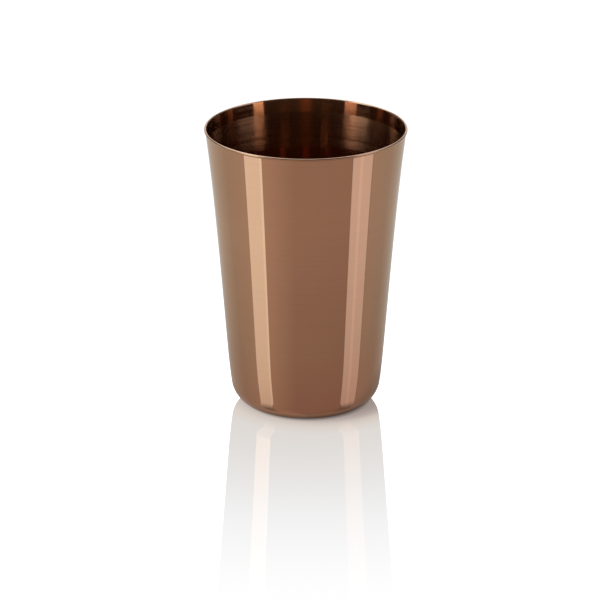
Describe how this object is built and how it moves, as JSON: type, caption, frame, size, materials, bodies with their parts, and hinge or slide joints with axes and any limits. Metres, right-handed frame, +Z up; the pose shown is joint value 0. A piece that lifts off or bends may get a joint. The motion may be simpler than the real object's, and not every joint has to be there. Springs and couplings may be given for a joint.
{
  "type": "tapered metal cup",
  "caption": "Tapered round metal cup with a rounded foot and a small bead round the outside of its lip, polished copper colour, for drinking, mixing or holding milk while it is frothed.",
  "frame": {"origin": "centre of the standing ring, on the surface that the cup stands on", "axes": "+Z up along the cup's axis, out of its mouth; the cup is round, so +X and +Y have no preferred side"},
  "size_m": [0.0874, 0.0874, 0.125],
  "materials": {
    "copper_finish": "polished"
  },
  "bodies": {
    "root": {"cup": "copper_finish"}
  },
  "joints": []
}
